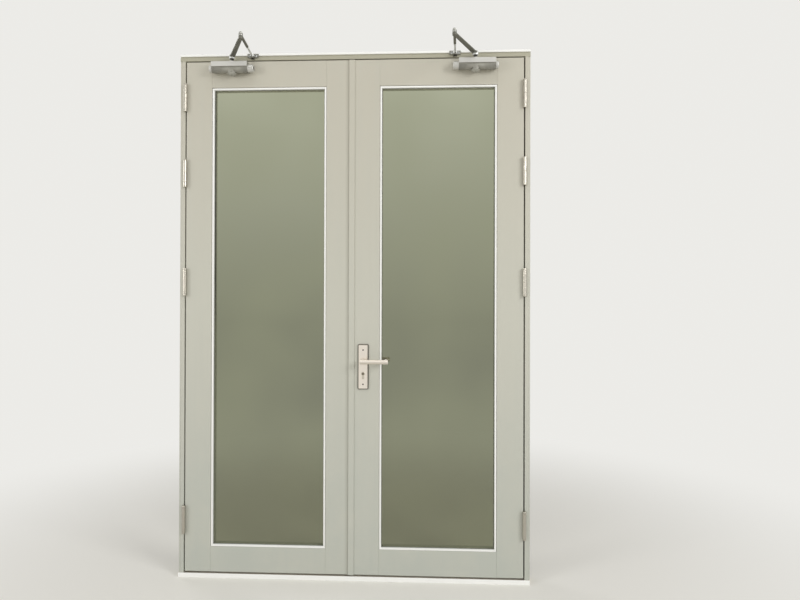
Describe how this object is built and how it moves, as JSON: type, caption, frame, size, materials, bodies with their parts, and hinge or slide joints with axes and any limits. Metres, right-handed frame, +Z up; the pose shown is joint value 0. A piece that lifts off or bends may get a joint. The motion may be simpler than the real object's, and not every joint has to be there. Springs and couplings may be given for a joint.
{
  "type": "double fire door",
  "caption": "Double-leaf glazed steel fire door in its frame, with overhead closers, lever handle, mortice lock and flush bolts.",
  "frame": {"origin": "middle of the sill's underside, on the floor", "axes": "+X to the right seen from the closer side, +Y through the doorway away from that side, +Z up"},
  "size_m": [1.638, 0.3566, 2.458],
  "materials": {
    "paint": "satin powder coat, warm light grey",
    "stainless": "satin",
    "zinc": "zinc plated",
    "nickel": "nickel plated",
    "mastic": "matt white sealant",
    "seal": "black extruded rubber",
    "board": "fire board",
    "fire_glass": "clear laminated fire glass",
    "closer_silver": "silver lacquer on cast aluminium",
    "closer_cap": "silver lacquer",
    "arm": "dark grey lacquered steel"
  },
  "bodies": {
    "frame": {"head": "paint", "jamb_left": "paint", "jamb_right": "paint", "sill": "stainless", "rebate_seal": "seal", "head_mastic": "mastic", "sill_mastic": "mastic", "frame_hinges": "stainless", "hinge_pins": "stainless", "arm_shoes": "closer_cap", "bolt_keeps": "zinc"},
    "active_leaf": {"a_hinge_stile": "paint", "a_meeting_stile": "paint", "a_top_rail": "paint", "a_bottom_rail": "paint", "a_boards": "board", "a_glass": "fire_glass", "a_front_bead": "mastic", "a_rear_bars": "paint", "a_hinges": "stainless", "a_closer": "closer_silver", "a_closer_caps": "closer_cap", "cover_strip": "paint", "lock_case": "zinc", "cylinder_body": "nickel", "outer_plate": "stainless", "inner_plate": "stainless", "plate_screws": "stainless"},
    "inactive_leaf": {"i_hinge_stile": "paint", "i_meeting_stile": "paint", "i_top_rail": "paint", "i_bottom_rail": "paint", "i_boards": "board", "i_glass": "fire_glass", "i_front_bead": "mastic", "i_rear_bars": "paint", "i_hinges": "stainless", "i_closer": "closer_silver", "i_closer_caps": "closer_cap", "strike_plate": "zinc", "bolt_faceplates": "zinc"},
    "handle": {"outer_lever": "stainless", "inner_lever": "stainless", "handle_spindle": "zinc", "lock_follower": "zinc"},
    "latch": {"latch_bolt": "nickel"},
    "dead_lock": {"dead_bolt": "nickel"},
    "cylinder": {"cylinder_plug": "nickel"},
    "top_flush_bolt": {"top_bolt": "zinc"},
    "bottom_flush_bolt": {"bottom_bolt": "zinc"},
    "active_arm": {"a_spindle": "zinc", "a_main_arm": "arm"},
    "active_forearm": {"a_forearm": "arm", "a_adjust_rod": "zinc"},
    "inactive_arm": {"i_spindle": "zinc", "i_main_arm": "arm"},
    "inactive_forearm": {"i_forearm": "arm", "i_adjust_rod": "zinc"}
  },
  "joints": [
    {"name": "active_leaf_swing", "type": "hinge", "parent": "frame", "child": "active_leaf", "pos_m": [0.792, -0.055, 1.2], "axis": [0, 0, 1], "range_deg": [0, 90], "stiffness_Nm_per_rad": 14, "springref_deg": -51.57},
    {"name": "inactive_leaf_swing", "type": "hinge", "parent": "frame", "child": "inactive_leaf", "pos_m": [-0.792, -0.055, 1.2], "axis": [0, 0, -1], "range_deg": [0, 90], "stiffness_Nm_per_rad": 14, "springref_deg": -51.57},
    {"name": "active_arm_turn", "type": "hinge", "parent": "active_leaf", "child": "active_arm", "pos_m": [0.564, -0.073, 2.433], "axis": [0, 0, -1], "range_deg": [0, 162.5]},
    {"name": "active_elbow", "type": "hinge", "parent": "active_arm", "child": "active_forearm", "pos_m": [0.4592, -0.27661, 2.433], "axis": [0, 0, 1], "range_deg": [0, 108]},
    {"name": "inactive_arm_turn", "type": "hinge", "parent": "inactive_leaf", "child": "inactive_arm", "pos_m": [-0.564, -0.073, 2.433], "axis": [0, 0, 1], "range_deg": [0, 162.5]},
    {"name": "inactive_elbow", "type": "hinge", "parent": "inactive_arm", "child": "inactive_forearm", "pos_m": [-0.4592, -0.27661, 2.433], "axis": [0, 0, -1], "range_deg": [0, 108]},
    {"name": "handle_turn", "type": "hinge", "parent": "active_leaf", "child": "handle", "pos_m": [0.05, 0, 1.02], "axis": [0, 1, 0], "range_deg": [0, 40], "stiffness_Nm_per_rad": 1.5, "springref_deg": -20.05},
    {"name": "latch_slide", "type": "slide", "parent": "active_leaf", "child": "latch", "axis": [1, 0, 0], "range_m": [0, 0.0121]},
    {"name": "cylinder_turn", "type": "hinge", "parent": "active_leaf", "child": "cylinder", "pos_m": [0.05, 0, 0.961], "axis": [0, 1, 0], "range_deg": [0, 90]},
    {"name": "dead_bolt_slide", "type": "slide", "parent": "active_leaf", "child": "dead_lock", "axis": [-1, 0, 0], "range_m": [0, 0.0201]},
    {"name": "top_bolt_slide", "type": "slide", "parent": "inactive_leaf", "child": "top_flush_bolt", "axis": [0, 0, 1], "range_m": [0, 0.018]},
    {"name": "bottom_bolt_slide", "type": "slide", "parent": "inactive_leaf", "child": "bottom_flush_bolt", "axis": [0, 0, -1], "range_m": [0, 0.018]}
  ],
  "couplings": [
    {"joint": "inactive_leaf_swing", "follows": "active_leaf_swing", "ratio": 1},
    {"joint": "active_arm_turn", "follows": "active_leaf_swing", "ratio": 1.8039},
    {"joint": "active_elbow", "follows": "active_leaf_swing", "ratio": 1.1974},
    {"joint": "inactive_arm_turn", "follows": "active_leaf_swing", "ratio": 1.8039},
    {"joint": "inactive_elbow", "follows": "active_leaf_swing", "ratio": 1.1974},
    {"joint": "latch_slide", "follows": "handle_turn", "m_per_rad": 0.01718},
    {"joint": "dead_bolt_slide", "follows": "cylinder_turn", "m_per_rad": 0.01273}
  ]
}
